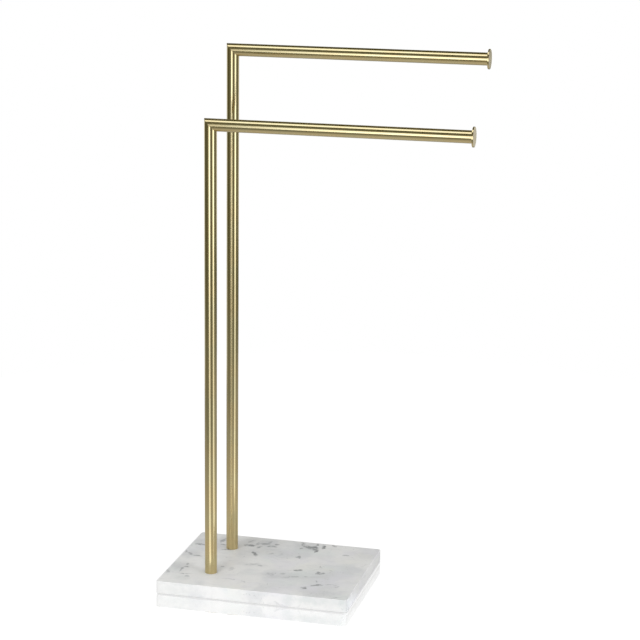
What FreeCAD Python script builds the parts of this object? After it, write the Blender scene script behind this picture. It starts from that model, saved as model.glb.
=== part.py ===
import FreeCAD, Part

import math
import os

# Freestanding towel stand. Two L-shaped tubes, each an upright welded to a rail at a mitre,
# stand on the left part of a stone slab, the lower one in front. Each upright is held from
# below by one bolt through the slab. A thin anti-slip sheet lies between the slab and the floor.
#
# Millimetres. +Z is up, +X runs along the rails to their free ends, and +Y runs from the front
# rail to the back rail. The origin is the middle of the slab's outline, on the floor.

# Stone slab
slab_length = 302.0
slab_depth = 236.0
slab_thickness = 20.0
slab_corner_radius = 4.0
slab_arris_radius = 0.8

# Anti-slip sheet glued under the slab, with a hole around each bolt's recess
sheet_thickness = 1.0
sheet_inset = 3.0
sheet_corner_radius = 3.0
sheet_hole_margin = 2.0

# Tubes, the same for the uprights and the rails
tube_diameter = 19.0
tube_wall = 1.0

# Places of the uprights' axes, heights of the rails' axes above the floor, and reach of each
# rail from its upright's axis to its end disc's outer face
upright_from_slab_end = 70.0
upright_spacing = 115.0
front_rail_height = 722.0
back_rail_height = 822.0
front_rail_reach = 396.0
back_rail_reach = 396.0

# End disc: a thin flat disc with a spigot that fits inside the rail
disc_diameter = 30.0
disc_thickness = 2.5
disc_edge_radius = 0.4
spigot_length = 12.0
spigot_clearance = 0.05
spigot_lead_in = 0.5

# Threaded insert in the lower end of each upright
insert_length = 25.0
insert_clearance = 0.05
insert_lead_in = 0.8
thread_clearance = 0.05

# Button-head socket bolt, M8, with its shank as a plain cylinder of the thread's diameter
bolt_diameter = 8.0
bolt_head_diameter = 14.0
bolt_head_height = 4.4
bolt_head_rim = 0.8
bolt_head_bulge = 0.6
bolt_head_flat_diameter = 8.0
bolt_socket_across_flats = 5.0
bolt_socket_depth = 2.6
bolt_tip_chamfer = 0.8
bolt_thread_engagement = 12.0

# Washers under the bolt's head, and the recess in the slab that takes them and the head
plain_washer_diameter = 24.0
plain_washer_hole = 8.4
plain_washer_thickness = 2.0
spring_washer_diameter = 14.8
spring_washer_hole = 8.2
spring_washer_thickness = 2.0
spring_washer_gap = 1.0
spring_washer_cut_angle = 25.0
recess_clearance = 1.0
head_below_flush = 2.6
slab_hole_clearance = 0.5

# Margin by which a cutting shape runs past the solid that it cuts
overrun = 1.0

# Worked-out heights and sizes
slab_bottom = sheet_thickness
slab_top = slab_bottom + slab_thickness
upright_x = -slab_length / 2 + upright_from_slab_end
tube_radius = tube_diameter / 2
bore_radius = tube_radius - tube_wall
washers_thickness = plain_washer_thickness + spring_washer_thickness
recess_depth = washers_thickness + bolt_head_height + head_below_flush
recess_radius = plain_washer_diameter / 2 + recess_clearance
recess_roof = slab_bottom + recess_depth
head_seat = recess_roof - washers_thickness
bolt_tip = slab_top + bolt_thread_engagement

UP = FreeCAD.Vector(0, 0, 1)
ALONG_RAIL = FreeCAD.Vector(1, 0, 0)
ACROSS = FreeCAD.Vector(0, 1, 0)

# One L each: name, y of its axis, height of its rail's axis, reach of its rail
SETS = (
    ("front", -upright_spacing / 2, front_rail_height, front_rail_reach),
    ("back", upright_spacing / 2, back_rail_height, back_rail_reach),
)


def rounded_plate(length, depth, thickness, corner_radius, bottom):
    """A flat plate about the origin with rounded plan corners, standing on z = bottom."""
    plate = Part.makeBox(
        length, depth, thickness, FreeCAD.Vector(-length / 2, -depth / 2, bottom)
    )
    corners = [e for e in plate.Edges if e.tangentAt(e.FirstParameter).cross(UP).Length < 0.5]
    return plate.makeFillet(corner_radius, corners)


def revolved(outline, base):
    """A closed (radius, height) outline turned about a vertical axis through base."""
    points = [base + FreeCAD.Vector(radius, 0, height) for radius, height in outline]
    face = Part.Face(Part.makePolygon(points + points[:1]))
    return face.revolve(base, UP, 360)


def ring(outer_radius, inner_radius, thickness, base):
    """A flat ring lying on base."""
    outer = Part.makeCylinder(outer_radius, thickness, base, UP)
    return outer.cut(
        Part.makeCylinder(inner_radius, thickness + 2 * overrun, base - UP * overrun, UP)
    )


def tube(start, direction, length):
    """A straight round tube."""
    wall = Part.makeCylinder(tube_radius, length, start, direction)
    bore = Part.makeCylinder(
        bore_radius, length + 2 * overrun, start - direction * overrun, direction
    )
    return wall.cut(bore)


def mitre_cutter(corner, sign):
    """A block on one side of the mitre: +1 is the rail's side, -1 is the upright's side."""
    side = 4 * tube_diameter
    block = Part.makeBox(
        side, side, side, FreeCAD.Vector(0 if sign > 0 else -side, -side / 2, -side / 2)
    )
    block.rotate(FreeCAD.Vector(), ACROSS, -45)
    block.translate(corner)
    return block


def base_slab():
    """The stone slab, with a hole and a recess from below for each bolt."""
    slab = rounded_plate(
        slab_length, slab_depth, slab_thickness, slab_corner_radius, slab_bottom
    )
    arrises = [e for e in slab.Edges if e.BoundBox.ZLength < slab_thickness / 2]
    slab = slab.makeFillet(slab_arris_radius, arrises)
    hole_radius = bolt_diameter / 2 + slab_hole_clearance
    for _, y, _, _ in SETS:
        below = FreeCAD.Vector(upright_x, y, slab_bottom - overrun)
        slab = slab.cut(Part.makeCylinder(recess_radius, recess_depth + overrun, below, UP))
        slab = slab.cut(Part.makeCylinder(hole_radius, slab_thickness + 2 * overrun, below, UP))
    return slab


def anti_slip_sheet():
    """The sheet that the stand rests on."""
    sheet = rounded_plate(
        slab_length - 2 * sheet_inset,
        slab_depth - 2 * sheet_inset,
        sheet_thickness,
        sheet_corner_radius,
        0,
    )
    for _, y, _, _ in SETS:
        below = FreeCAD.Vector(upright_x, y, -overrun)
        hole = Part.makeCylinder(
            recess_radius + sheet_hole_margin, sheet_thickness + 2 * overrun, below, UP
        )
        sheet = sheet.cut(hole)
    return sheet


def upright(y, rail_height):
    """From the slab's top face up to the mitre, which rises towards the outside of the L."""
    foot = FreeCAD.Vector(upright_x, y, slab_top)
    whole = tube(foot, UP, rail_height - slab_top + tube_diameter)
    return whole.cut(mitre_cutter(FreeCAD.Vector(upright_x, y, rail_height), 1))


def rail(y, rail_height, reach):
    """From the mitre to the inner face of the end disc."""
    start = FreeCAD.Vector(upright_x - tube_diameter, y, rail_height)
    whole = tube(start, ALONG_RAIL, tube_diameter + reach - disc_thickness)
    return whole.cut(mitre_cutter(FreeCAD.Vector(upright_x, y, rail_height), -1))


def end_disc(y, rail_height, reach):
    """The disc against the rail's end, with its spigot in the rail's bore."""
    face = FreeCAD.Vector(upright_x + reach - disc_thickness, y, rail_height)
    disc = Part.makeCylinder(disc_diameter / 2, disc_thickness, face, ALONG_RAIL)
    rims = [e for e in disc.Edges if e.BoundBox.XLength < disc_thickness / 2]
    disc = disc.makeFillet(disc_edge_radius, rims)
    spigot = Part.makeCylinder(
        bore_radius - spigot_clearance, spigot_length, face, -ALONG_RAIL
    )
    inner_rim = [e for e in spigot.Edges if e.BoundBox.XMax < face.x - spigot_length / 2]
    spigot = spigot.makeChamfer(spigot_lead_in, inner_rim)
    return disc.fuse(spigot)


def foot_insert(y):
    """The threaded plug, flush with the lower end of the upright."""
    radius = bore_radius - insert_clearance
    hole = bolt_diameter / 2 + thread_clearance
    outline = (
        (hole + insert_lead_in, 0),
        (radius, 0),
        (radius, insert_length - insert_lead_in),
        (radius - insert_lead_in, insert_length),
        (hole, insert_length),
        (hole, insert_lead_in),
    )
    return revolved(outline, FreeCAD.Vector(upright_x, y, slab_top))


def socket_prism(centre):
    """The hexagonal socket, driven up into the bolt's head from centre."""
    spoke = FreeCAD.Vector(bolt_socket_across_flats / math.sqrt(3), 0, 0)
    turns = [FreeCAD.Rotation(UP, 60 * i) for i in range(6)]
    corners = [centre + turn.multVec(spoke) for turn in turns]
    hexagon = Part.Face(Part.makePolygon(corners + corners[:1]))
    return hexagon.extrude(UP * (bolt_socket_depth + overrun))


def fixing_bolt(y):
    """Head down, its bearing face against the spring washer and its shank in the insert."""
    seat = FreeCAD.Vector(upright_x, y, head_seat)
    shank = Part.makeCylinder(bolt_diameter / 2, bolt_tip - head_seat, seat, UP)
    tip_rim = [e for e in shank.Edges if e.BoundBox.ZMin > bolt_tip - bolt_tip_chamfer]
    shank = shank.makeChamfer(bolt_tip_chamfer, tip_rim)

    rim_radius = bolt_head_diameter / 2
    flat_radius = bolt_head_flat_diameter / 2
    run = rim_radius - flat_radius
    rise = bolt_head_height - bolt_head_rim
    chord = math.hypot(run, rise)

    def at(radius, height):
        return seat + FreeCAD.Vector(radius, 0, height)

    # the domed side bulges from the chord between its rim and its flat end
    dome_middle = at(
        flat_radius + run / 2 + bolt_head_bulge * rise / chord,
        -bolt_head_rim - rise / 2 - bolt_head_bulge * run / chord,
    )
    edges = [
        Part.makeLine(at(0, 0), at(rim_radius, 0)),
        Part.makeLine(at(rim_radius, 0), at(rim_radius, -bolt_head_rim)),
        Part.Arc(
            at(rim_radius, -bolt_head_rim),
            dome_middle,
            at(flat_radius, -bolt_head_height),
        ).toShape(),
        Part.makeLine(at(flat_radius, -bolt_head_height), at(0, -bolt_head_height)),
        Part.makeLine(at(0, -bolt_head_height), at(0, 0)),
    ]
    head = Part.Face(Part.Wire(edges)).revolve(seat, UP, 360)
    head = head.cut(socket_prism(at(0, -bolt_head_height - overrun)))
    return head.fuse(shank).removeSplitter()


def plain_washer(y):
    """The large washer against the roof of the slab's recess."""
    base = FreeCAD.Vector(upright_x, y, recess_roof - plain_washer_thickness)
    return ring(plain_washer_diameter / 2, plain_washer_hole / 2, plain_washer_thickness, base)


def spring_washer(y):
    """A split ring, pressed flat, with its slanted gap on the +X side."""
    base = FreeCAD.Vector(upright_x, y, head_seat)
    radius = spring_washer_diameter / 2
    washer = ring(radius, spring_washer_hole / 2, spring_washer_thickness, base)
    height = 3 * spring_washer_thickness
    gap = Part.makeBox(
        radius + overrun,
        spring_washer_gap,
        height,
        FreeCAD.Vector(0, -spring_washer_gap / 2, -height / 2),
    )
    gap.rotate(FreeCAD.Vector(), ALONG_RAIL, spring_washer_cut_angle)
    gap.translate(base + UP * (spring_washer_thickness / 2))
    return washer.cut(gap)


def make_pieces():
    """Every piece of the stand in its place, by name."""
    pieces = {"base_slab": base_slab(), "anti_slip_sheet": anti_slip_sheet()}
    for name, y, rail_height, reach in SETS:
        pieces[name + "_upright"] = upright(y, rail_height)
        pieces[name + "_rail"] = rail(y, rail_height, reach)
        pieces[name + "_rail_end_disc"] = end_disc(y, rail_height, reach)
        pieces[name + "_foot_insert"] = foot_insert(y)
        pieces[name + "_fixing_bolt"] = fixing_bolt(y)
        pieces[name + "_plain_washer"] = plain_washer(y)
        pieces[name + "_spring_washer"] = spring_washer(y)
    return pieces


os.makedirs("parts", exist_ok=True)
for piece_name, piece in make_pieces().items():
    piece.exportStep("parts/" + piece_name + ".step")
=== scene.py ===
import math

import bmesh
import bpy
from bpy.props import FloatProperty, FloatVectorProperty, IntProperty, PointerProperty
from bpy.types import Operator, Panel, PropertyGroup
from mathutils import Matrix, Vector


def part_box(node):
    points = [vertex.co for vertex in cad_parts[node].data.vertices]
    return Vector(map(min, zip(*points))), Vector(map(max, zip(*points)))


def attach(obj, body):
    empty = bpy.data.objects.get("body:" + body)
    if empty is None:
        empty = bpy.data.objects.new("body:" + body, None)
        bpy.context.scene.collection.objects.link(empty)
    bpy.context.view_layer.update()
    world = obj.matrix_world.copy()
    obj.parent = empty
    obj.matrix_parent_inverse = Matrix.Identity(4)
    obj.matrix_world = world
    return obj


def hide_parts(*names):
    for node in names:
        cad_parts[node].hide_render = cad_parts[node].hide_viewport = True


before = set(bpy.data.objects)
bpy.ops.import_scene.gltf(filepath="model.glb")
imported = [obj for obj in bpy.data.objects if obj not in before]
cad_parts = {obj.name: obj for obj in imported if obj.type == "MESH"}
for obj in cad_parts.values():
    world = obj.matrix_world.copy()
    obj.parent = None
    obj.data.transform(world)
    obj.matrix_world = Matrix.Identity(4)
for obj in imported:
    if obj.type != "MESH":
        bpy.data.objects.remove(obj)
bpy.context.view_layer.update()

# Freestanding towel stand: the finished pieces, their materials, the studio and the camera.
# Lengths are in metres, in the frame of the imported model: +Z is up, +X runs along the rails to
# their free ends, and +Y runs from the front rail to the back rail.

bl_info = {
    "name": "Freestanding towel stand",
    "version": (1, 0, 0),
    "blender": (4, 5, 0),
    "location": "View3D > Sidebar > Towel Stand",
    "description": "Builds the finished pieces of a towel stand in the frame of its packed model",
    "category": "Add Mesh",
}

MM = 0.001
BODY = "root"
SETS = ("front", "back")
UP = Vector((0, 0, 1))
ALONG_RAIL = Vector((1, 0, 0))
SAME_PLACE = 1e-6
# How far off a tube's wall a point may be and still count as on it
ON_WALL = 0.01 * MM
SHARP_ANGLE = math.radians(35)
# Steps of the rounded edges
END_STEPS = 2
EDGE_STEPS = 4
CORNER_STEPS = 16


# ---- Sizes read from the frame ----

def middle(node):
    """The middle of a node's box."""
    low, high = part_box(node)
    return (low + high) / 2


def extent(node):
    """The size of a node's box."""
    low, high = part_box(node)
    return high - low


TUBE_DIAMETER = extent("front_upright").y
DISC_DIAMETER = extent("front_rail_end_disc").y
SLAB_LOW, SLAB_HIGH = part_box("base_slab")
SHEET_LOW, SHEET_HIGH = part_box("anti_slip_sheet")


def tube_axis(name):
    """Where the axes of a set's upright and rail meet."""
    upright = middle(name + "_upright")
    rail = middle(name + "_rail")
    return Vector((upright.x, upright.y, rail.z))


BOLTS = [tuple(tube_axis(name).xy) for name in SETS]


# ---- Settings ----

def length(label, text, default):
    """A length that a user may change."""
    return FloatProperty(
        name=label, description=text, default=default, min=0, unit="LENGTH",
        subtype="DISTANCE", precision=5,
    )


def share(label, text, default):
    """A number from 0 to 1 that a user may change."""
    return FloatProperty(
        name=label, description=text, default=default, min=0, max=1, subtype="FACTOR"
    )


def colour(label, text, default):
    """A colour, in linear light, that a user may change."""
    return FloatVectorProperty(
        name=label, description=text, default=default, min=0, max=1, size=3, subtype="COLOR"
    )


def level(label, text, default):
    """A number from 0 up that a user may change."""
    return FloatProperty(name=label, description=text, default=default, min=0)


class TubeSettings(PropertyGroup):
    """Sizes of the uprights, the rails and their end discs."""

    wall: length("Wall", "Thickness of the tubes' wall", 1.0 * MM)
    end_bevel: length("End bevel", "Eased edge at the tubes' ends and at the mitres", 0.12 * MM)
    disc_edge: length("Disc edge", "Radius of the end discs' rims", 0.4 * MM)
    spigot_clearance: length("Spigot clearance", "Gap round the spigot in the rail", 0.05 * MM)
    sides: IntProperty(
        name="Sides", description="Facets round a tube or a disc", default=128, min=16
    )


class SlabSettings(PropertyGroup):
    """Sizes of the stone slab and of the sheet below it."""

    corner_radius: length("Corner radius", "Radius of the slab's plan corners", 4.0 * MM)
    arris: length("Arris", "Radius of the slab's eased edges", 0.8 * MM)
    recess_radius: length("Recess radius", "Radius of the recess round each bolt", 13.0 * MM)
    hole_radius: length("Hole radius", "Radius of the hole for each bolt", 4.5 * MM)
    sheet_corner: length("Sheet corner", "Radius of the sheet's plan corners", 3.0 * MM)
    sheet_hole_margin: length("Sheet hole margin", "Sheet hole beyond the recess", 2.0 * MM)


class FinishSettings(PropertyGroup):
    """Colours and gloss of the finishes."""

    gold: colour("Gold", "Brushed pale gold of the tubes and discs", (0.6, 0.505, 0.27))
    gold_roughness: share("Gold roughness", "Roughness of the brushed gold", 0.15)
    stone: colour("Stone", "White ground of the marble look", (0.88, 0.88, 0.87))
    stone_cloud: colour("Clouds", "Soft grey clouds in the stone", (0.74, 0.75, 0.76))
    stone_vein: colour("Veins", "Grey of the stone's veins and flecks", (0.27, 0.28, 0.29))
    stone_roughness: share("Stone roughness", "Roughness of the honed stone", 0.38)
    foam: colour("Foam", "Grey of the anti-slip sheet", (0.78, 0.78, 0.77))
    steel: colour("Steel", "Bare turned steel of the foot inserts", (0.58, 0.57, 0.55))
    zinc: colour("Zinc", "Zinc plate of the bolts and washers", (0.66, 0.68, 0.71))


class StudioSettings(PropertyGroup):
    """The camera, the floor and the lamps."""

    lens: level("Lens", "Focal length, in mm", 113.24)
    floor: colour("Floor", "Plain pale floor", (0.6, 0.6, 0.6))
    ambient: level("Ambient", "Strength of the soft light from all round", 0.53)
    left_lamp: level("Left lamp", "Radiance of the tall soft box on the left", 5.8)
    right_lamp: level("Right lamp", "Radiance of the tall soft box on the right", 3.9)
    top_lamp: level("Top lamp", "Radiance of the soft box overhead", 2.35)


class TowelStandSettings(PropertyGroup):
    """All the settings of the stand."""

    tubes: PointerProperty(name="Tubes", type=TubeSettings)
    slab: PointerProperty(name="Slab", type=SlabSettings)
    finish: PointerProperty(name="Finish", type=FinishSettings)
    studio: PointerProperty(name="Studio", type=StudioSettings)


def settings():
    """The scene's settings of the stand."""
    return bpy.context.scene.towel_stand


# ---- Mesh helpers ----

def edges_of(verts):
    """The edges that touch the given vertices, each once and in the same order every run."""
    return list(dict.fromkeys(edge for vert in verts for edge in vert.link_edges))


def placed(start, direction):
    """The matrix that puts a shape's own origin at start and turns its Z along direction."""
    turn = direction.to_track_quat("Z", "Y").to_matrix().to_4x4()
    return Matrix.Translation(start) @ turn


def circle(bm, start, direction, radius, sides, filled=False):
    """A circle square to direction. Gives its edges, or its face if it is filled."""
    made = bmesh.ops.create_circle(
        bm, cap_ends=filled, radius=radius, segments=sides, matrix=placed(start, direction)
    )
    if filled:
        return made["verts"][0].link_faces[0]
    return edges_of(made["verts"])


def extruded(bm, faces, move):
    """Extrudes faces and moves the new ones. Gives the new faces."""
    made = bmesh.ops.extrude_face_region(bm, geom=faces)["geom"]
    bmesh.ops.translate(bm, verts=[v for v in made if isinstance(v, bmesh.types.BMVert)], vec=move)
    return [f for f in made if isinstance(f, bmesh.types.BMFace)]


def eased(bm, edges, radius, steps):
    """Rounds edges."""
    bmesh.ops.bevel(
        bm, geom=edges, offset=radius, offset_type="OFFSET", segments=steps, profile=0.5,
        affect="EDGES", material=-1, clamp_overlap=True,
    )


def fill_between(bm, edges):
    """Fills the level area between an outline and the rims of its holes."""
    bmesh.ops.triangle_fill(bm, use_beauty=True, use_dissolve=False, edges=edges, normal=UP)


def in_scene(name, data):
    """A new object in the scene."""
    thing = bpy.data.objects.new(name, data)
    bpy.context.scene.collection.objects.link(thing)
    return thing


def in_mesh(name, bm, material):
    """A new object with the mesh of a bmesh and one material."""
    mesh = bpy.data.meshes.new(name)
    bm.to_mesh(mesh)
    bm.free()
    mesh.materials.append(material)
    return in_scene(name, mesh)


def finished(name, bm, material, node):
    """Makes a piece of the mesh that stands for a node of the frame."""
    bmesh.ops.remove_doubles(bm, verts=bm.verts, dist=SAME_PLACE)
    bmesh.ops.recalc_face_normals(bm, faces=bm.faces)
    piece = in_mesh(name, bm, material)
    piece.data.shade_smooth()
    piece.data.set_sharp_from_angle(angle=SHARP_ANGLE)
    weighted = piece.modifiers.new("weighted_normals", "WEIGHTED_NORMAL")
    weighted.keep_sharp = True
    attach(piece, BODY)
    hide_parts(node)


# ---- Node helpers ----

def add_node(tree, kind, inputs=(), **options):
    """A shader node with its options and inputs. An input is a value or a node's output."""
    node = tree.nodes.new(kind)
    for option, value in options.items():
        setattr(node, option, value)
    for socket, value in dict(inputs).items():
        if isinstance(value, bpy.types.NodeSocket):
            tree.links.new(value, node.inputs[socket])
        else:
            node.inputs[socket].default_value = value
    return node


def maths(tree, operation, *values):
    """The output of a Math node."""
    return add_node(tree, "ShaderNodeMath", enumerate(values), operation=operation).outputs[0]


def vector_maths(tree, operation, *values):
    """The vector that a Vector Math node gives."""
    node = add_node(tree, "ShaderNodeVectorMath", enumerate(values), operation=operation)
    return node.outputs[0]


def length_of(tree, vector):
    """The length of a vector."""
    node = add_node(tree, "ShaderNodeVectorMath", {0: vector}, operation="LENGTH")
    return node.outputs[1]


def parts_of(tree, vector):
    """The X, Y and Z of a vector."""
    return add_node(tree, "ShaderNodeSeparateXYZ", {0: vector}).outputs


def laid(tree, ground, rgb, mask):
    """A colour laid over a ground, as far as a mask shows it."""
    node = add_node(
        tree, "ShaderNodeMix", {0: mask, 6: ground, 7: opaque(rgb)}, data_type="RGBA"
    )
    return node.outputs[2]


def ranged(tree, value, from_low, from_high, to_low, to_high):
    """A value carried softly from one range to another, and held there."""
    node = add_node(
        tree, "ShaderNodeMapRange", {0: value, 1: from_low, 2: from_high, 3: to_low, 4: to_high},
        interpolation_type="SMOOTHSTEP",
    )
    return node.outputs[0]


def soft_step(tree, value, low, high, most=1.0):
    """0 where a value is below low, rising to most where it is above high."""
    return ranged(tree, value, low, high, 0.0, most)


def noise(tree, vector, scale, detail=2.0, roughness=0.5):
    """The value of a noise texture."""
    node = add_node(
        tree, "ShaderNodeTexNoise",
        {"Vector": vector, "Scale": scale, "Detail": detail, "Roughness": roughness},
    )
    return node.outputs[0]


def moved(tree, vector, location=(0, 0, 0), rotation=(0, 0, 0), scale=(1, 1, 1), kind="POINT"):
    """A mapped vector."""
    node = add_node(
        tree, "ShaderNodeMapping",
        {"Vector": vector, "Location": location, "Rotation": rotation, "Scale": scale},
        vector_type=kind,
    )
    return node.outputs[0]


def object_place(tree):
    """The place in the part's frame."""
    return add_node(tree, "ShaderNodeTexCoord").outputs["Object"]


def new_group(name, inputs, outputs):
    """An empty node group with named sockets, its input node and its output node."""
    group = bpy.data.node_groups.new(name, "ShaderNodeTree")
    for socket, (kind, default) in inputs.items():
        made = group.interface.new_socket(socket, in_out="INPUT", socket_type=kind)
        if default is not None:
            made.default_value = default
    for socket, kind in outputs.items():
        group.interface.new_socket(socket, in_out="OUTPUT", socket_type=kind)
    return group, group.nodes.new("NodeGroupInput"), group.nodes.new("NodeGroupOutput")


def use_group(tree, group, inputs):
    """The outputs of a node group placed in a tree with its own values."""
    return add_node(tree, "ShaderNodeGroup", inputs, node_tree=group).outputs


def new_material(name):
    """A material with only an output node, its tree and the output's surface socket."""
    material = bpy.data.materials.new(name)
    material.use_nodes = True
    tree = material.node_tree
    tree.nodes.clear()
    out = tree.nodes.new("ShaderNodeOutputMaterial")
    return material, tree, out.inputs["Surface"]


def shade(tree, surface, inputs, height, strength, distance):
    """Gives a surface a Principled shader with its inputs, and fine bumps of a height."""
    bump = add_node(
        tree, "ShaderNodeBump", {"Strength": strength, "Distance": distance, "Height": height}
    ).outputs[0]
    shader = add_node(tree, "ShaderNodeBsdfPrincipled", {**inputs, "Normal": bump})
    tree.links.new(shader.outputs[0], surface)


def opaque(rgb):
    """A colour with full alpha."""
    return (*rgb, 1.0)


def shaded(rgb, factor):
    """A darker shade of a colour."""
    return tuple(channel * factor for channel in rgb)


# ---- Effects that several materials share ----

# Change of the lines and of the drag marks across the local Z axis, per metre
LINE_CHANGE = 45.0
DRAG_CHANGE = 130.0
# Pitch of the drag marks, as a share of the lines'
DRAG_PITCH = 0.16
# A stone mark ends at this many times its half size
MARK_END = 1.2


def stretched(tree, place, across, along):
    """A place scaled by one factor across the local Z axis and by another along it."""
    scale = add_node(tree, "ShaderNodeCombineXYZ", {0: across, 1: across, 2: along})
    return vector_maths(tree, "MULTIPLY", place, scale.outputs[0])


def grain_group():
    """Fine satin lines across the local Z axis, with a few drag marks and soft blotches."""
    name = "satin_grain"
    if name in bpy.data.node_groups:
        return bpy.data.node_groups[name]
    group, inside, outside = new_group(
        name,
        {
            "Vector": ("NodeSocketVector", None),
            "Lines per metre": ("NodeSocketFloat", 4500.0),
            "Blotches per metre": ("NodeSocketFloat", 22.0),
        },
        {"Lines": "NodeSocketFloat", "Drag": "NodeSocketFloat", "Blotches": "NodeSocketFloat"},
    )
    place = inside.outputs["Vector"]
    pitch = inside.outputs["Lines per metre"]
    drag_pitch = maths(group, "MULTIPLY", pitch, DRAG_PITCH)
    line_place = stretched(group, place, LINE_CHANGE, pitch)
    drag_place = stretched(group, place, DRAG_CHANGE, drag_pitch)
    lines = noise(group, line_place, 1.0, detail=3.0, roughness=0.65)
    drag = soft_step(group, noise(group, drag_place, 1.0, detail=1.0), 0.66, 0.8)
    blotches = noise(group, place, inside.outputs["Blotches per metre"], detail=3.0)
    group.links.new(lines, outside.inputs["Lines"])
    group.links.new(drag, outside.inputs["Drag"])
    group.links.new(blotches, outside.inputs["Blotches"])
    return group


def mark_group():
    """One oval mark in a stone, broken up by a wispy mask."""
    name = "stone_mark"
    if name in bpy.data.node_groups:
        return bpy.data.node_groups[name]
    group, inside, outside = new_group(
        name,
        {
            "Vector": ("NodeSocketVector", None),
            "Wisps": ("NodeSocketFloat", 1.0),
            "Centre": ("NodeSocketVector", None),
            "Turn": ("NodeSocketVector", None),
            "Half size": ("NodeSocketVector", None),
            "Core": ("NodeSocketFloat", 0.5),
            "Strength": ("NodeSocketFloat", 1.0),
        },
        {"Mask": "NodeSocketFloat"},
    )
    local = moved(
        group, inside.outputs["Vector"], inside.outputs["Centre"], inside.outputs["Turn"],
        inside.outputs["Half size"], kind="TEXTURE",
    )
    reach = length_of(group, local)
    oval = ranged(group, reach, inside.outputs["Core"], MARK_END, 1.0, 0.0)
    broken = maths(group, "MULTIPLY", oval, inside.outputs["Wisps"])
    mask = maths(group, "MULTIPLY", broken, inside.outputs["Strength"])
    group.links.new(mask, outside.inputs["Mask"])
    return group


# ---- Materials ----

# How the gold's warm blotches differ from its colour, and how dull it is in its lines
GOLD_WARMTH = (1.04, 0.985, 0.94)
GOLD_DULLNESS = 0.86
GOLD_ANISOTROPY = 0.65
STEEL_ROUGHNESS = 0.32
ZINC_ROUGHNESS = 0.28
# Lines and blotches of the turned metal, and cells and patches of the foam, per metre
TURNING_LINES = 7000.0
TURNED_BLOTCHES = 180.0
FOAM_CELLS = 1800.0
FOAM_PATCHES = 40.0


def brushed_gold(name, start, axis):
    """Satin pale gold. The lines run round the axis, so the gloss is drawn out along it."""
    look = settings().finish
    material, tree, surface = new_material(name)
    turn = axis.rotation_difference(UP).to_euler()
    place = moved(tree, object_place(tree), location=-start)
    local = moved(tree, place, rotation=tuple(turn))
    grain = use_group(tree, grain_group(), {"Vector": local})
    warm = [channel * factor for channel, factor in zip(look.gold, GOLD_WARMTH)]
    dull = shaded(look.gold, GOLD_DULLNESS)
    toned = laid(tree, opaque(look.gold), warm, soft_step(tree, grain["Blotches"], 0.35, 0.65))
    lined = laid(tree, toned, dull, soft_step(tree, grain["Lines"], 0.42, 0.7, 0.25))
    along = add_node(tree, "ShaderNodeCombineXYZ", {0: axis.x, 1: axis.y, 2: axis.z}).outputs[0]
    rough = look.gold_roughness
    from_lines = ranged(tree, grain["Lines"], 0.3, 0.7, rough - 0.01, rough + 0.01)
    from_blotches = ranged(tree, grain["Blotches"], 0.3, 0.7, -0.01, 0.015)
    with_drag = maths(tree, "MULTIPLY_ADD", grain["Drag"], 0.02, from_blotches)
    gloss = maths(tree, "ADD", from_lines, with_drag)
    inputs = {"Base Color": lined, "Metallic": 1.0, "Roughness": gloss,
              "Anisotropic": GOLD_ANISOTROPY, "Tangent": along}
    shade(tree, surface, inputs, grain["Lines"], 0.3, 0.0006 * MM)
    return material


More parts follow.
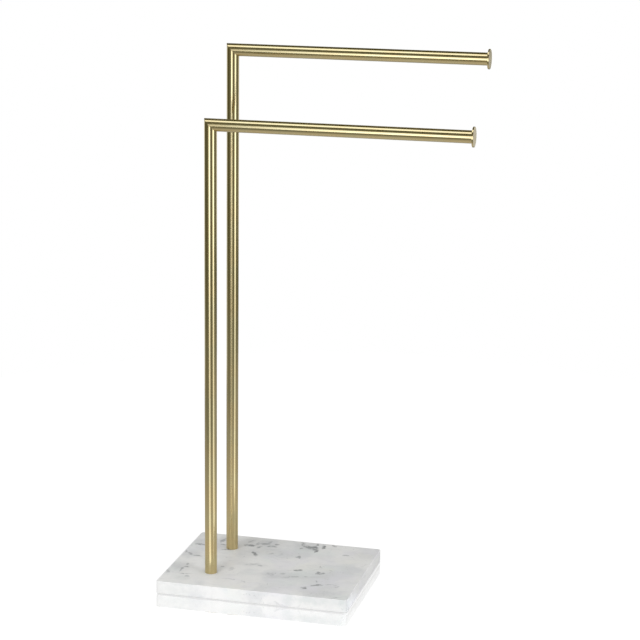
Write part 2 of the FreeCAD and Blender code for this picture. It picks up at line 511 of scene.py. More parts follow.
# Marks on the slab's top: middle (x, y) and half size (length, width) in mm,
# turn about Z in degrees, strength
STONE_MARKS = (
    (-57, 79, 11, 4.5, 8, 1.0),
    (-62, 96, 12, 4, 60, 0.35),
    (-47, 88, 4, 7, 0, 0.5),
    (-35, 92, 9, 4, 15, 0.75),
    (-38, 72, 4, 8, 0, 0.7),
    (-22, 82, 9, 4, -10, 0.7),
    (-14, 92, 4, 5, 0, 0.65),
    (-29, 100, 4, 6, 20, 0.45),
    (-39, 41, 13, 5.0, -50, 1.0),
    (-10, 52, 3.5, 3, 0, 0.5),
    (25, 107, 5, 12, 20, 0.8),
    (36, 98, 12, 7, -10, 0.85),
    (48, 91, 15, 7, -52, 1.0),
    (55, 79, 4.5, 6.5, 0, 1.0),
    (47, 109, 3, 7, 0, 0.75),
    (60, 101, 10, 2.8, -72, 1.0),
    (27, 86, 3.5, 4, 0, 0.7),
    (32, 44, 3.5, 6.5, 10, 0.85),
    (103, 74, 3.5, 5, 0, 0.5),
    (80, 12, 3.5, 4, 0, 0.35),
    (98, -2, 4, 2.5, -40, 0.3),
    (75, 112, 4, 3, 0, 0.6),
    (49, -14, 7, 5.5, 0, 0.9),
    (83, -15, 5.5, 4.5, 10, 0.95),
    (30, -33, 5, 5, 20, 0.45),
    (67, -35, 4.5, 2.5, 10, 0.5),
    (45, -44, 16, 3, 15, 0.35),
    (85, -53, 2, 5, 20, 0.5),
    (78, -82, 6, 5, 0, 1.0),
    (91, -70, 10, 2.5, 28, 0.8),
    (112, -60, 12, 2, 15, 0.5),
    (123, -64, 3.5, 5, 0, 0.4),
    (132, -111, 12, 2, 15, 0.5),
    (-28, -6, 11, 4, 20, 0.4),
    (-16, -10, 4, 5, 0, 0.45),
    (12, -42, 8, 5, 0, 0.3),
    (-55, -35, 6, 8, 10, 0.3),
    (-141, 18, 12, 2.6, -42, 0.7),
    (-125, 9, 10, 2.4, -15, 0.65),
    (-148, 21, 4, 2, 30, 0.5),
    (-136, 60, 9, 3.4, 15, 0.75),
    (-104, 86, 4, 14, -12, 0.6),
    (-99, 68, 8, 3, 5, 0.6),
    (-128, -33, 2.5, 7, 0, 0.6),
    (-124, -47, 7, 2.4, 10, 0.7),
    (-129, -58, 2.5, 11, -5, 0.65),
    (-119, -75, 9, 2.6, 12, 0.65),
    (-113, -84, 4, 4, 0, 0.4),
    (-149, -70, 3, 11, 5, 0.5),
    (-86, 44, 9, 3.6, 5, 0.9),
    (-84, 91, 6, 4, 0, 0.5),
    (-72, -30, 3, 4, 0, 0.5),
    (-45, -81, 9, 2.2, 12, 0.4),
    (-22, -85, 6, 2, -55, 0.4),
)
# Soft grey patches on the top, in the same way
STONE_PATCHES = (
    (-42, 94, 48, 28, 5, 0.45),
    (-100, 92, 22, 30, 0, 0.45),
    (-20, 52, 46, 30, -15, 0.22),
    (38, 96, 34, 22, -25, 0.35),
    (60, -40, 52, 12, 12, 0.3),
    (12, -48, 34, 12, 5, 0.28),
    (-28, -8, 30, 13, 0, 0.25),
    (130, 85, 30, 34, 0, 0.2),
    (110, -100, 45, 16, 8, 0.3),
    (-130, -48, 20, 36, 0, 0.25),
    (-132, 12, 24, 22, 0, 0.3),
    (-118, -92, 18, 13, 0, 0.3),
)
# Bluish patches on the front face: middle (x, z) and half size in mm, strength
FRONT_PATCHES = (
    (58, 14, 12, 12, 0.45),
    (92, 15, 34, 9, 0.5),
    (122, 16, 16, 9, 0.5),
    (142, 17, 12, 9, 0.7),
    (150, 10, 30, 9, 0.2),
    (-120, 8, 34, 10, 0.3),
    (-118, 19, 40, 4, 0.3),
    (-95, 20, 8, 3, 0.5),
    (10, 18, 34, 2, 0.3),
)
# The colour of these patches
STONE_BLUISH = (0.68, 0.72, 0.71)
# Faint tints of the ground, each with the shift of its own noise
STONE_TINTS = (
    ((0.3, 0.1, 0.7), (0.78, 0.83, 0.81)),
    ((-0.2, 0.5, 0.1), (0.86, 0.86, 0.81)),
    ((0.6, -0.4, 0.2), (0.82, 0.81, 0.86)),
)
# Half depth of the marks and of the patches below the surface, in mm
MARK_DEPTH = 6
PATCH_DEPTH = 8
# Noise that bends the stone's forms: its scale, per metre, and its sway
STONE_BENDS = ((40.0, 0.02), (210.0, 0.006))
# Scales of the stone's other noises, per metre
CLOUDS = 14.0
TINTS = 15.0
FIBRES = 90.0
MOTTLE = 75.0
VEINS = 9.0
VEIN_GATES = 23.0
FLECKS = 190.0
FLECK_GATES = 30.0
WISPS = 170.0
ROUGH_PATCHES = 60.0
PITS = 900.0
FIBRE_STRETCH = (1.0, 1.8, 1.0)


def stone_marks(tree, place, marks, wisps, core):
    """The mask of a list of marks: the middle, the half size, the turn and the strength of each."""
    total = 0.0
    for centre, half, turn, strength in marks:
        mark = use_group(
            tree, mark_group(),
            {
                "Vector": place,
                "Wisps": wisps,
                "Centre": tuple(part * MM for part in centre),
                "Turn": (0, 0, math.radians(turn)),
                "Half size": tuple(part * MM for part in half),
                "Core": core,
                "Strength": strength,
            },
        )
        total = maths(tree, "MAXIMUM", total, mark["Mask"])
    return total


def on_top(rows, depth):
    """Rows of the tables above as marks on the slab's top."""
    top = SLAB_HIGH.z / MM
    return [((x, y, top), (a, b, depth), turn, strength) for x, y, a, b, turn, strength in rows]


def bent_place(tree, place):
    """A place shifted by noise, which gives the stone's forms their ragged outlines."""
    bent = place
    for scale, sway in STONE_BENDS:
        wander = add_node(
            tree, "ShaderNodeTexNoise", {"Vector": place, "Scale": scale, "Detail": 3.0}
        ).outputs[1]
        offset = vector_maths(tree, "SUBTRACT", wander, (0.5, 0.5, 0.5))
        bent = vector_maths(tree, "MULTIPLY_ADD", offset, (sway, sway, sway), bent)
    return bent


def stone_ground(tree, bent):
    """The stone's pale ground: soft clouds, faint tints, fibres and soft patches."""
    look = settings().finish
    clouds = noise(tree, bent, CLOUDS, detail=3.0)
    ground = laid(tree, opaque(look.stone), look.stone_cloud, soft_step(tree, clouds, 0.45, 0.68))
    for shift, tint in STONE_TINTS:
        field = noise(tree, moved(tree, bent, location=shift), TINTS)
        ground = laid(tree, ground, tint, soft_step(tree, field, 0.52, 0.7, 0.45))
    fibres = noise(tree, moved(tree, bent, scale=FIBRE_STRETCH), FIBRES, detail=3.0)
    fibre_tone = shaded(look.stone_cloud, 0.92)
    ground = laid(tree, ground, fibre_tone, soft_step(tree, fibres, 0.45, 0.75, 0.25))
    mottle = noise(tree, bent, MOTTLE, detail=3.0, roughness=0.65)
    soft_wisps = ranged(tree, mottle, 0.35, 0.6, 0.35, 1.0)
    grey = stone_marks(tree, bent, on_top(STONE_PATCHES, PATCH_DEPTH), soft_wisps, 0.2)
    ground = laid(tree, ground, shaded(look.stone_cloud, 0.72), grey)
    front = SLAB_LOW.y / MM
    on_front = [
        ((x, front, z), (a, MARK_DEPTH, b), 0, strength) for x, z, a, b, strength in FRONT_PATCHES
    ]
    return laid(tree, ground, STONE_BLUISH, stone_marks(tree, bent, on_front, soft_wisps, 0.3))


def stone():
    """White and grey marble look: a clouded ground with thin veins, flecks and marks."""
    look = settings().finish
    material, tree, surface = new_material("marble")
    place = object_place(tree)
    bent = bent_place(tree, place)
    ridge = maths(tree, "ABSOLUTE", maths(tree, "SUBTRACT", noise(tree, bent, VEINS), 0.5))
    vein_gate = soft_step(tree, noise(tree, place, VEIN_GATES), 0.56, 0.68, 0.2)
    veins = maths(tree, "MULTIPLY", ranged(tree, ridge, 0.0, 0.007, 1.0, 0.0), vein_gate)
    fleck_gate = soft_step(tree, noise(tree, place, FLECK_GATES, detail=1.0), 0.5, 0.62, 0.5)
    flecks = soft_step(tree, noise(tree, bent, FLECKS, roughness=0.7), 0.64, 0.74)
    flecks = maths(tree, "MULTIPLY", flecks, fleck_gate)
    wisps = ranged(tree, noise(tree, bent, WISPS, detail=3.0, roughness=0.6), 0.38, 0.5, 0.3, 1.0)
    marks = stone_marks(tree, bent, on_top(STONE_MARKS, MARK_DEPTH), wisps, 0.5)
    total = maths(tree, "MAXIMUM", maths(tree, "MAXIMUM", veins, flecks), marks)
    final = laid(tree, stone_ground(tree, bent), look.stone_vein, total)
    rough = look.stone_roughness
    smooth_patches = noise(tree, place, ROUGH_PATCHES, detail=3.0)
    gloss = ranged(tree, smooth_patches, 0.3, 0.7, rough - 0.05, rough + 0.07)
    inputs = {"Base Color": final, "Roughness": gloss}
    shade(tree, surface, inputs, noise(tree, place, PITS), 0.3, 0.02 * MM)
    return material


def foam():
    """Matt closed-cell foam."""
    look = settings().finish
    material, tree, surface = new_material("foam")
    place = object_place(tree)
    cells = add_node(
        tree, "ShaderNodeTexVoronoi", {"Vector": place, "Scale": FOAM_CELLS}
    ).outputs[0]
    patches = noise(tree, place, FOAM_PATCHES, detail=3.0)
    darker = shaded(look.foam, 0.85)
    tone = laid(tree, opaque(look.foam), darker, soft_step(tree, patches, 0.3, 0.7))
    tone = laid(tree, tone, shaded(look.foam, 0.6), soft_step(tree, cells, 0.1, 0.6, 0.35))
    gloss = ranged(tree, patches, 0.3, 0.7, 0.85, 0.95)
    shade(tree, surface, {"Base Color": tone, "Roughness": gloss}, cells, 0.5, 0.08 * MM)
    return material


def turned_metal(name, rgb, roughness, middle_point):
    """Bare or plated steel with turning lines about a vertical axis."""
    material, tree, surface = new_material(name)
    place = moved(tree, object_place(tree), location=-middle_point)
    grain = use_group(
        tree, grain_group(),
        {"Vector": place, "Lines per metre": TURNING_LINES, "Blotches per metre": TURNED_BLOTCHES},
    )
    blotches = soft_step(tree, grain["Blotches"], 0.35, 0.65)
    tone = laid(tree, opaque(rgb), shaded(rgb, 0.82), blotches)
    tone = laid(tree, tone, shaded(rgb, 0.7), soft_step(tree, grain["Lines"], 0.45, 0.7, 0.4))
    gloss = ranged(tree, grain["Blotches"], 0.3, 0.7, roughness - 0.05, roughness + 0.08)
    inputs = {"Base Color": tone, "Metallic": 1.0, "Roughness": gloss}
    shade(tree, surface, inputs, grain["Lines"], 0.4, 0.01 * MM)
    return material


def dress(node, material):
    """Gives a node of the frame its material."""
    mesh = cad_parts[node].data
    mesh.materials.clear()
    mesh.materials.append(material)


# ---- Pieces ----

def mitred_tube(name, node, start, direction, run, corner, keep_sign):
    """A hollow tube from start along direction, cut at 45 degrees at the corner of the L."""
    sizes = settings().tubes
    radius = TUBE_DIAMETER / 2
    bm = bmesh.new()
    rings = circle(bm, start, direction, radius, sizes.sides)
    rings += circle(bm, start, direction, radius - sizes.wall, sizes.sides)
    ends = bmesh.ops.bridge_loops(bm, edges=rings)["faces"]
    extruded(bm, ends, direction * run)
    mitre = (ALONG_RAIL + UP).normalized()
    cut = bmesh.ops.bisect_plane(
        bm, geom=bm.verts[:] + bm.edges[:] + bm.faces[:], dist=SAME_PLACE, plane_co=corner,
        plane_no=mitre * keep_sign, clear_outer=True,
    )["geom_cut"]
    rims = [e for e in cut if isinstance(e, bmesh.types.BMEdge)]
    bmesh.ops.bridge_loops(bm, edges=rims)
    square = [
        e for e in bm.edges
        if all(abs((v.co - start).dot(direction)) < SAME_PLACE for v in e.verts)
    ]
    outer = [e for e in rims + square if is_outer(e, corner, direction, radius)]
    eased(bm, outer, sizes.end_bevel, END_STEPS)
    finished(name, bm, brushed_gold(name, corner, direction), node)


def is_outer(edge, point, direction, radius):
    """True if the edge runs round the outside of the tube, and not along it."""
    def off_axis(vert):
        arm = vert.co - point
        return (arm - direction * arm.dot(direction)).length

    on_wall = all(abs(off_axis(v) - radius) < ON_WALL for v in edge.verts)
    return on_wall and edge.calc_length() < radius / 2


class TOWELSTAND_OT_uprights(Operator):
    """Builds the two uprights, from the slab up to their mitres"""

    bl_idname = "towelstand.uprights"
    bl_label = "Uprights"

    def execute(self, context):
        for name in SETS:
            corner = tube_axis(name)
            foot = Vector((corner.x, corner.y, SLAB_HIGH.z))
            run = corner.z - foot.z + TUBE_DIAMETER
            mitred_tube(name + "_upright_tube", name + "_upright", foot, UP, run, corner, 1)
        return {"FINISHED"}


class TOWELSTAND_OT_rails(Operator):
    """Builds the two rails, from their end discs back to their mitres"""

    bl_idname = "towelstand.rails"
    bl_label = "Rails"

    def execute(self, context):
        for name in SETS:
            corner = tube_axis(name)
            end = Vector((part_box(name + "_rail")[1].x, corner.y, corner.z))
            run = end.x - corner.x + TUBE_DIAMETER
            mitred_tube(name + "_rail_tube", name + "_rail", end, -ALONG_RAIL, run, corner, -1)
        return {"FINISHED"}


class TOWELSTAND_OT_end_discs(Operator):
    """Builds the flat end discs with their spigots"""

    bl_idname = "towelstand.end_discs"
    bl_label = "End discs"

    def execute(self, context):
        sizes = settings().tubes
        radius = DISC_DIAMETER / 2
        for name in SETS:
            node = name + "_rail_end_disc"
            corner = tube_axis(name)
            low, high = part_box(node)
            rail_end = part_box(name + "_rail")[1].x
            outside = Vector((high.x, corner.y, corner.z))
            bm = bmesh.new()
            face = circle(bm, outside, ALONG_RAIL, radius, sizes.sides, filled=True)
            back = extruded(bm, [face], -ALONG_RAIL * (high.x - rail_end))
            rims = [e for e in bm.edges if abs(e.verts[0].co.x - e.verts[1].co.x) < SAME_PLACE]
            spigot_radius = TUBE_DIAMETER / 2 - sizes.wall - sizes.spigot_clearance
            bmesh.ops.inset_region(
                bm, faces=back, thickness=radius - spigot_radius, use_even_offset=True
            )
            extruded(bm, back, -ALONG_RAIL * (rail_end - low.x))
            eased(bm, rims, sizes.disc_edge, EDGE_STEPS)
            gold = brushed_gold(node, outside, ALONG_RAIL)
            finished(name + "_disc", bm, gold, node)
        return {"FINISHED"}


def rounded_box(bm, low, high, corner_radius, arris):
    """A box with rounded plan corners and eased edges."""
    size = high - low
    place = Matrix.Translation((low + high) / 2) @ Matrix.Diagonal((*size, 1.0))
    bmesh.ops.create_cube(bm, size=1.0, matrix=place)
    posts = [e for e in bm.edges if abs(e.verts[0].co.z - e.verts[1].co.z) > size.z / 2]
    eased(bm, posts, corner_radius, CORNER_STEPS)
    if arris > 0:
        rims = [e for e in bm.edges if abs(e.verts[0].co.z - e.verts[1].co.z) < SAME_PLACE]
        eased(bm, rims, arris, EDGE_STEPS)


def pierce(bm, height, radius, sides):
    """Cuts the bolts' round holes in the flat face at a height. Gives the edges of each rim."""
    flat = [f for f in bm.faces if all(abs(v.co.z - height) < SAME_PLACE for v in f.verts)]
    face = max(flat, key=lambda f: f.calc_area())
    outline = list(face.edges)
    bmesh.ops.delete(bm, geom=[face], context="FACES_ONLY")
    rims = [circle(bm, Vector((x, y, height)), UP, radius, sides) for x, y in BOLTS]
    fill_between(bm, outline + sum(rims, []))
    return rims


class TOWELSTAND_OT_slab(Operator):
    """Builds the stone slab, with a hole and, from below, a recess for each bolt"""

    bl_idname = "towelstand.slab"
    bl_label = "Slab"

    def execute(self, context):
        sizes = settings().slab
        sides = settings().tubes.sides // 2
        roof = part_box("front_plain_washer")[1].z
        bm = bmesh.new()
        rounded_box(bm, SLAB_LOW, SLAB_HIGH, sizes.corner_radius, sizes.arris)
        top_rims = pierce(bm, SLAB_HIGH.z, sizes.hole_radius, sides)
        low_rims = pierce(bm, SLAB_LOW.z, sizes.recess_radius, sides)
        for centre, top_rim, low_rim in zip(BOLTS, top_rims, low_rims):
            made = bmesh.ops.extrude_edge_only(bm, edges=low_rim)["geom"]
            wall = [v for v in made if isinstance(v, bmesh.types.BMVert)]
            bmesh.ops.translate(bm, verts=wall, vec=UP * (roof - SLAB_LOW.z))
            edges = [e for e in made if isinstance(e, bmesh.types.BMEdge)]
            outer = [e for e in edges if all(v in wall for v in e.verts)]
            inner = circle(bm, Vector((*centre, roof)), UP, sizes.hole_radius, sides)
            bmesh.ops.bridge_loops(bm, edges=outer + inner)
            bmesh.ops.bridge_loops(bm, edges=inner + top_rim)
        finished("stone_slab", bm, stone(), "base_slab")
        return {"FINISHED"}


class TOWELSTAND_OT_sheet(Operator):
    """Builds the anti-slip sheet that the stand rests on"""

    bl_idname = "towelstand.sheet"
    bl_label = "Anti-slip sheet"

    def execute(self, context):
        sizes = settings().slab
        sides = settings().tubes.sides // 2
        radius = sizes.recess_radius + sizes.sheet_hole_margin
        bm = bmesh.new()
        rounded_box(bm, SHEET_LOW, SHEET_HIGH, sizes.sheet_corner, 0)
        top_rims = pierce(bm, SHEET_HIGH.z, radius, sides)
        low_rims = pierce(bm, SHEET_LOW.z, radius, sides)
        for top_rim, low_rim in zip(top_rims, low_rims):
            bmesh.ops.bridge_loops(bm, edges=top_rim + low_rim)
        finished("foam_sheet", bm, foam(), "anti_slip_sheet")
        return {"FINISHED"}


class TOWELSTAND_OT_fixings(Operator):
    """Finishes the inserts, bolts and washers that hold the uprights"""

    bl_idname = "towelstand.fixings"
    bl_label = "Fixings"

    def execute(self, context):
        look = settings().finish
        for name in SETS:
            axis = tube_axis(name)
            foot = Vector((axis.x, axis.y, 0))
            steel = turned_metal(name + "_turned_steel", look.steel, STEEL_ROUGHNESS, foot)
            zinc = turned_metal(name + "_zinc_plate", look.zinc, ZINC_ROUGHNESS, foot)
            dress(name + "_foot_insert", steel)
            for fixing in ("_fixing_bolt", "_plain_washer", "_spring_washer"):
                dress(name + fixing, zinc)
        return {"FINISHED"}


# ---- Studio ----

WHITE = (1.0, 1.0, 1.0)
# Heading, dip and roll of the camera are in radians
CAMERA_PLACE = Vector((0.8015, -2.8918, 1.1308))
CAMERA_HEADING = -0.2461
CAMERA_DIP = 0.2331
CAMERA_ROLL = -0.0118
SENSOR_WIDTH = 36.0

# Two tall soft boxes face the stand, at azimuths in degrees, and one hangs overhead
LEFT_BOX_AZIMUTH = -18
RIGHT_BOX_AZIMUTH = 72
TALL_BOX_DISTANCE = 2.5
TALL_BOX_MIDDLE = 0.85
TALL_BOX_SIZE = (1.06, 1.7)
TOP_BOX_PLACE = Vector((-0.45, -0.52, 3.1))
TOP_BOX_SIZE = (1.1, 1.87)

FLOOR_MIDDLE = Vector((0, 0.35, 0))
FLOOR_RADIUS = 1.1
FLOOR_SIDES = 96
FLOOR_ROUGHNESS = 0.9
# The floor's own light, which brings it to white for the camera
FLOOR_LIGHT = 0.62
# The floor's faint mirror image of the slab: its share in front and at the side, and its reach
MIRROR_SHARE = (0.88, 0.45)
MIRROR_AT_SLAB = 0.3
MIRROR_REACH = 0.053
MIRROR_SOFT_EDGE = 4 * MM
MIRROR_SOFT_CORNER = 10 * MM
# It comes in over these values of Layer Weight's Facing, because only a low view shows it
MIRROR_GRAZING = (0.57, 0.62)

# The cards that the gloss shows: stretches of wall between azimuths in degrees, a ceiling, and
# an outer floor just below the floor
WALLS = ((-140, 140), (163.5, 205))
WALL_STEP = 4
WALL_DISTANCE = 2.6
ROOM_HEIGHT = 3.2
OUTER_FLOOR_START = 0.7
OUTER_FLOOR_DROP = 2 * MM
CARD_SIDES = 64
STRIP_TINT = (0.96, 1.03, 1.2)
DARK_TINT = (1.0, 0.98, 0.5)
DARK_CARD = 0.11
# Strips of light on the wall: middle, half width and softness in degrees, and level
LEFT_STRIP = (-5.0, 11.0, 9.0, 2.8)
RIGHT_STRIP = (66.5, 13.0, 10.0, 2.6)
# A wide faint glow round both strips, and a broad soft strip behind the stand on the left
GLOW_STRIP = (38.0, 95.0, 25.0, 0.1)
SIDE_STRIP = (-125.0, 20.0, 12.0, 0.8)
# Levels by height on the wall: two heights, and the share of the two strips at each
STRIPS_FOOT = (0.35, 0.6, 1.0, 0.8)
STRIPS_TOP = (1.25, 1.7, 1.0, 0.0)
# Painted glow of the floors, for the gloss alone: two reaches, and the level at each
NEAR_FLOOR_GLOW = (0.15, 0.75, 0.68, 0.44)
OUTER_FLOOR_GLOW = (1.0, 2.8, 0.17, 0.0)
# The floor's share of the two strips of light, as a painted reflection. As on any gloss, this
# image comes in at low angles, over these values of Layer Weight's Facing.
NEAR_FLOOR_STRIPS = 0.46
OUTER_FLOOR_STRIPS = (1.4, 2.4, 0.46, 0.64)
NEAR_STRIPS_GRAZING = (0.5, 0.7)
OUTER_STRIPS_GRAZING = (0.61, 0.72)
# The middle of the strips' image in the near floor
NEAR_STRIPS_CENTRE = Vector((-0.05, 0, 0))
# A patch of light on the ceiling: middle, half width and softness along X and along Y
CEILING_PATCH_X = (-0.45, 0.6, 0.15)
CEILING_PATCH_Y = (-0.63, 0.78, 0.15)
CEILING_PATCH_LIGHT = 1.9


def glow_of(tree, rgb, strength):
    """A shader that only glows."""
    node = add_node(tree, "ShaderNodeEmission", {"Color": opaque(rgb), "Strength": strength})
    return node.outputs[0]


def added(tree, first, second):
    """Two shaders added up."""
    return add_node(tree, "ShaderNodeAddShader", {0: first, 1: second}).outputs[0]


def between(tree, share_shown, first, second):
    """A shader between two shaders, with the share of the second that shows."""
    node = add_node(tree, "ShaderNodeMixShader", {0: share_shown, 1: first, 2: second})
    return node.outputs[0]


def low_view(tree, limits):
    """1 where a surface is seen at a low angle. The limits are values of Layer Weight's Facing."""
    facing = add_node(tree, "ShaderNodeLayerWeight", {"Blend": 0.5}).outputs["Facing"]
    return soft_step(tree, facing, *limits)


def band(tree, value, centre, half_width, soft, most=1.0):
    """The most where a value is within half a width of a centre, with soft edges."""
    away = maths(tree, "ABSOLUTE", maths(tree, "SUBTRACT", value, centre))
    return ranged(tree, away, half_width - soft, half_width + soft, most, 0.0)


def background_mask(tree):
    """1 for rays of the camera, of gloss and of glass, which show the white background."""
    path = add_node(tree, "ShaderNodeLightPath").outputs
    seen = maths(tree, "MAXIMUM", path["Is Camera Ray"], path["Is Glossy Ray"])
    return maths(tree, "MAXIMUM", seen, path["Is Transmission Ray"])


def white_world(ambient):
    """A white background with an even, softer light on the object."""
    world = bpy.data.worlds.new("studio")
    bpy.context.scene.world = world
    world.use_nodes = True
    tree = world.node_tree
    tree.nodes.clear()
    strength = ranged(tree, background_mask(tree), 0.0, 1.0, ambient, 1.0)
    back = add_node(
        tree, "ShaderNodeBackground", {"Color": opaque(WHITE), "Strength": strength}
    )
    out = add_node(tree, "ShaderNodeOutputWorld")
    tree.links.new(back.outputs[0], out.inputs["Surface"])
    world.cycles.sampling_method = "NONE"


def mirror_share(tree):
    """How much of the slab's mirror image the floor shows in a low view."""
    place = object_place(tree)
    beyond = vector_maths(tree, "SUBTRACT", vector_maths(tree, "ABSOLUTE", place), SLAB_HIGH)
    reach = length_of(tree, vector_maths(tree, "MAXIMUM", beyond, (0, 0, 0)))
    side = SLAB_HIGH.x
    by_side = ranged(
        tree, parts_of(tree, place)[0], side - MIRROR_SOFT_CORNER, side + MIRROR_SOFT_CORNER,
        *MIRROR_SHARE,
    )
    near = maths(
        tree, "MULTIPLY", ranged(tree, reach, 0.0, MIRROR_SOFT_EDGE, MIRROR_AT_SLAB, 1.0),
        ranged(tree, reach, MIRROR_REACH - MIRROR_SOFT_EDGE, MIRROR_REACH, 1.0, 0.0),
    )
    shown = maths(tree, "MULTIPLY", by_side, near)
    return maths(tree, "MULTIPLY", shown, low_view(tree, MIRROR_GRAZING))


def pale_floor(rgb):
    """The floor's material: plain and pale, white to the camera, with the object's shadow.

    The camera sees a faint mirror image of the slab in it, and the gloss of the metal sees only
    its painted glow and painted reflection of the strips. From below it is clear, and shows the
    underside.
    """
    material, tree, surface = new_material("studio_floor")
    path = add_node(tree, "ShaderNodeLightPath").outputs
    seen = maths(tree, "MAXIMUM", path["Is Camera Ray"], path["Is Transmission Ray"])
    own_light = maths(tree, "MULTIPLY", seen, FLOOR_LIGHT)
    plain = add_node(
        tree, "ShaderNodeBsdfPrincipled",
        {"Base Color": opaque(rgb), "Roughness": FLOOR_ROUGHNESS, "Specular IOR Level": 0.0,
         "Emission Color": opaque(WHITE), "Emission Strength": own_light},
    ).outputs[0]
    mirror = add_node(
        tree, "ShaderNodeBsdfGlossy", {"Color": opaque(WHITE), "Roughness": 0.0}
    ).outputs[0]
    mirror_seen = maths(tree, "MULTIPLY", mirror_share(tree), path["Is Camera Ray"])
    in_view = between(tree, mirror_seen, plain, mirror)
    # Gloss sees painted light here in place of the lit floor: a glow and a reflection of the strips
    from_above = between(tree, path["Is Glossy Ray"], in_view, near_floor_painted_glow(tree))
    clear = add_node(tree, "ShaderNodeBsdfTransparent").outputs[0]
    below = add_node(tree, "ShaderNodeNewGeometry").outputs["Backfacing"]
    tree.links.new(between(tree, below, from_above, clear), surface)
    material.cycles.emission_sampling = "NONE"
    return material


def near_floor_painted_glow(tree):
    """The near floor in the gloss: a painted glow and a painted reflection of the strips."""
    place = moved(tree, object_place(tree), location=-NEAR_STRIPS_CENTRE)
    glow = ranged(tree, length_of(tree, place), *NEAR_FLOOR_GLOW)
    image = strips_painted_reflection(tree, place, NEAR_STRIPS_GRAZING)
    image = maths(tree, "MULTIPLY", image, NEAR_FLOOR_STRIPS)
    return added(tree, glow_of(tree, WHITE, glow), glow_of(tree, STRIP_TINT, image))


def around(azimuth, distance, height):
    """A place round the stand. Azimuth 0 is in front of it, 90 is at the rails' free ends."""
    turn = math.radians(azimuth)
    return Vector((math.sin(turn) * distance, -math.cos(turn) * distance, height))


def staged(name, bm, material):
    """An object of the studio."""
    thing = in_mesh(name, bm, material)
    return thing


def for_gloss_only(thing):
    """Leaves a card of the studio to the gloss of the metal."""
    thing.visible_camera = False
    thing.visible_diffuse = False
    thing.visible_shadow = False
    thing.visible_transmission = False


def card_material(name, light):
    """A dark card that glows with the strip light that a function of its tree gives.

    The floor's mirror image of the slab doesn't show it.
    """
    material, tree, surface = new_material(name)
    dark = glow_of(tree, DARK_TINT, DARK_CARD)
    bright = glow_of(tree, STRIP_TINT, light(tree))
    clear = add_node(tree, "ShaderNodeBsdfTransparent").outputs[0]
    sharp = add_node(tree, "ShaderNodeLightPath").outputs["Is Singular Ray"]
    tree.links.new(between(tree, sharp, added(tree, dark, bright), clear), surface)
    material.cycles.emission_sampling = "NONE"
    return material


def strip(tree, place, *shape):
    """The light of a strip at a place, by its azimuth in degrees, as around() has it."""
    x, y = parts_of(tree, place)[:2]
    azimuth = maths(tree, "DEGREES", maths(tree, "ARCTAN2", x, maths(tree, "MULTIPLY", y, -1.0)))
    return band(tree, azimuth, *shape)


def two_strips(tree, place):
    """The light of the two bright strips."""
    return maths(tree, "ADD", strip(tree, place, *LEFT_STRIP), strip(tree, place, *RIGHT_STRIP))


def strips_painted_reflection(tree, place, low_angles):
    """A painted reflection of the two strips in the floor, which only low angles show."""
    return maths(tree, "MULTIPLY", two_strips(tree, place), low_view(tree, low_angles))


def wall_light(tree):
    """Two tall strips of light that fade out upwards, the wide glow and the strip on the left."""
    place = object_place(tree)
    height = parts_of(tree, place)[2]
    by_height = maths(
        tree, "MULTIPLY", ranged(tree, height, *STRIPS_FOOT), ranged(tree, height, *STRIPS_TOP)
    )
    glow = maths(tree, "ADD", strip(tree, place, *SIDE_STRIP), strip(tree, place, *GLOW_STRIP))
    return maths(tree, "MULTIPLY_ADD", two_strips(tree, place), by_height, glow)


def outer_floor_light(tree):
    """The dark outer floor's painted reflection of the strips, and its faint painted glow."""
    place = object_place(tree)
    reach = length_of(tree, place)
    share_shown = ranged(tree, reach, *OUTER_FLOOR_STRIPS)
    image = maths(tree, "MULTIPLY", strips_painted_reflection(tree, place, OUTER_STRIPS_GRAZING), share_shown)
    glow = ranged(tree, reach, *OUTER_FLOOR_GLOW)
    return maths(tree, "ADD", image, maths(tree, "ADD", strip(tree, place, *SIDE_STRIP), glow))


def ceiling_light(tree):
    """A soft rectangular patch of light."""
    x, y = parts_of(tree, object_place(tree))[:2]
    patch = maths(
        tree, "MULTIPLY", band(tree, x, *CEILING_PATCH_X), band(tree, y, *CEILING_PATCH_Y)
    )
    return maths(tree, "MULTIPLY", patch, CEILING_PATCH_LIGHT)


def reflection_cards():
    """The walls, the ceiling and the outer floor, which only the gloss of the metal shows."""
    wall = card_material("wall_card", wall_light)
    for i, (start, end) in enumerate(WALLS):
        bm = bmesh.new()
        low = bm.verts.new(around(start, WALL_DISTANCE, 0))
        high = bm.verts.new(around(start, WALL_DISTANCE, ROOM_HEIGHT))
        post = bm.edges.new((low, high))
        bmesh.ops.spin(
            bm, geom=[low, high, post], cent=(0, 0, 0), axis=UP, dvec=(0, 0, 0),
            angle=math.radians(end - start), steps=round((end - start) / WALL_STEP),
        )
        for_gloss_only(staged(f"wall_{i}", bm, wall))
    bm = bmesh.new()
    circle(bm, UP * ROOM_HEIGHT, UP, WALL_DISTANCE, CARD_SIDES, filled=True)
    for_gloss_only(staged("ceiling", bm, card_material("ceiling_card", ceiling_light)))
    bm = bmesh.new()
    middle_point = -UP * OUTER_FLOOR_DROP
    rims = circle(bm, middle_point, UP, OUTER_FLOOR_START, CARD_SIDES)
    rims += circle(bm, middle_point, UP, WALL_DISTANCE, CARD_SIDES)
    bmesh.ops.bridge_loops(bm, edges=rims)
    for_gloss_only(staged("outer_floor", bm, card_material("floor_card", outer_floor_light)))


def floor_mesh():
    """A round floor that is open under the sheet."""
    bm = bmesh.new()
    outline = circle(bm, FLOOR_MIDDLE, UP, FLOOR_RADIUS, FLOOR_SIDES)
    low, high = SHEET_LOW, SHEET_HIGH
    corners = [
        bm.verts.new((x, y, 0))
        for x, y in ((low.x, low.y), (high.x, low.y), (high.x, high.y), (low.x, high.y))
    ]
    hole = [bm.edges.new((corners[i - 1], corners[i])) for i in range(4)]
    fill_between(bm, outline + hole)
    return bm


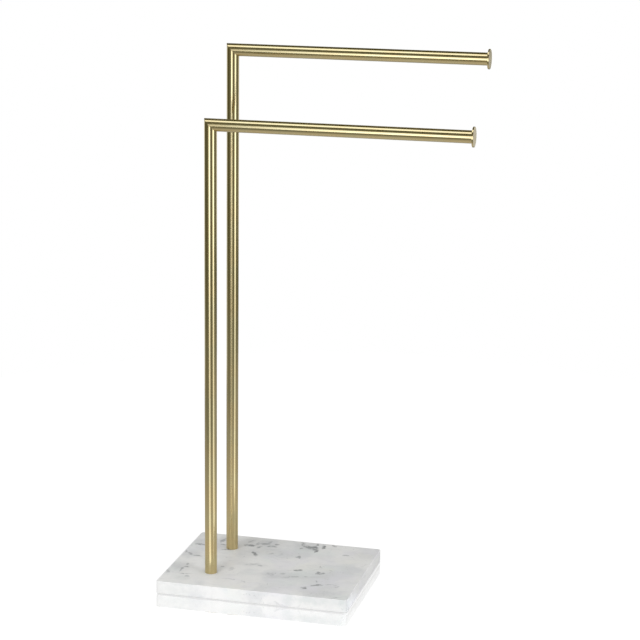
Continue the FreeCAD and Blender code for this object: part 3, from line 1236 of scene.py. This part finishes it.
def soft_box(name, place, target, size, radiance):
    """A rectangular lamp with an even face of the given radiance."""
    light = bpy.data.lights.new(name, "AREA")
    light.shape = "RECTANGLE"
    light.size, light.size_y = size
    light.energy = radiance * math.pi * size[0] * size[1]
    lamp = in_scene(name, light)
    lamp.location = place
    lamp.rotation_euler = (target - place).to_track_quat("-Z", "Y").to_euler()
    lamp.visible_camera = False
    lamp.visible_glossy = False


def place_camera(lens):
    """The camera, turned and tilted by its heading, its dip and its roll."""
    data = bpy.data.cameras.new("camera")
    data.lens = lens
    data.sensor_width = SENSOR_WIDTH
    camera = in_scene("camera", data)
    heading, dip, roll = CAMERA_HEADING, CAMERA_DIP, CAMERA_ROLL
    forward = Vector(
        (math.sin(heading) * math.cos(dip), math.cos(heading) * math.cos(dip), -math.sin(dip))
    )
    sideways = Vector((math.cos(heading), -math.sin(heading), 0))
    over = sideways.cross(forward)
    right = math.cos(roll) * sideways - math.sin(roll) * over
    up = right.cross(forward)
    turn = Matrix((right, up, -forward)).transposed().to_4x4()
    camera.matrix_world = Matrix.Translation(CAMERA_PLACE) @ turn
    bpy.context.scene.camera = camera


class TOWELSTAND_OT_studio(Operator):
    """Sets up the floor, the cards for the gloss, the lamps, the background and the camera"""

    bl_idname = "towelstand.studio"
    bl_label = "Studio"

    def execute(self, context):
        look = settings().studio
        context.scene.view_settings.view_transform = "Standard"
        white_world(look.ambient)
        staged("floor", floor_mesh(), pale_floor(tuple(look.floor)))
        reflection_cards()
        left = around(LEFT_BOX_AZIMUTH, TALL_BOX_DISTANCE, TALL_BOX_MIDDLE)
        right = around(RIGHT_BOX_AZIMUTH, TALL_BOX_DISTANCE, TALL_BOX_MIDDLE)
        target = UP * TALL_BOX_MIDDLE
        below = Vector((TOP_BOX_PLACE.x, TOP_BOX_PLACE.y, 0))
        soft_box("left_box", left, target, TALL_BOX_SIZE, look.left_lamp)
        soft_box("right_box", right, target, TALL_BOX_SIZE, look.right_lamp)
        soft_box("top_box", TOP_BOX_PLACE, below, TOP_BOX_SIZE, look.top_lamp)
        place_camera(look.lens)
        return {"FINISHED"}


class TOWELSTAND_PT_sidebar(Panel):
    """Lists the steps that build the stand"""

    bl_idname = "TOWELSTAND_PT_sidebar"
    bl_label = "Towel stand"
    bl_space_type = "VIEW_3D"
    bl_region_type = "UI"
    bl_category = "Towel Stand"

    def draw(self, context):
        for step in STEPS:
            self.layout.operator(step.bl_idname)


STEPS = (
    TOWELSTAND_OT_slab,
    TOWELSTAND_OT_sheet,
    TOWELSTAND_OT_uprights,
    TOWELSTAND_OT_rails,
    TOWELSTAND_OT_end_discs,
    TOWELSTAND_OT_fixings,
    TOWELSTAND_OT_studio,
)
CLASSES = (
    TubeSettings,
    SlabSettings,
    FinishSettings,
    StudioSettings,
    TowelStandSettings,
    *STEPS,
    TOWELSTAND_PT_sidebar,
)


def register():
    for item in CLASSES:
        bpy.utils.register_class(item)
    bpy.types.Scene.towel_stand = PointerProperty(type=TowelStandSettings)


def unregister():
    del bpy.types.Scene.towel_stand
    for item in reversed(CLASSES):
        bpy.utils.unregister_class(item)


def main():
    """Builds every piece and the studio."""
    register()
    for step in STEPS:
        group, name = step.bl_idname.split(".")
        getattr(getattr(bpy.ops, group), name)()


if __name__ == "__main__":
    main()
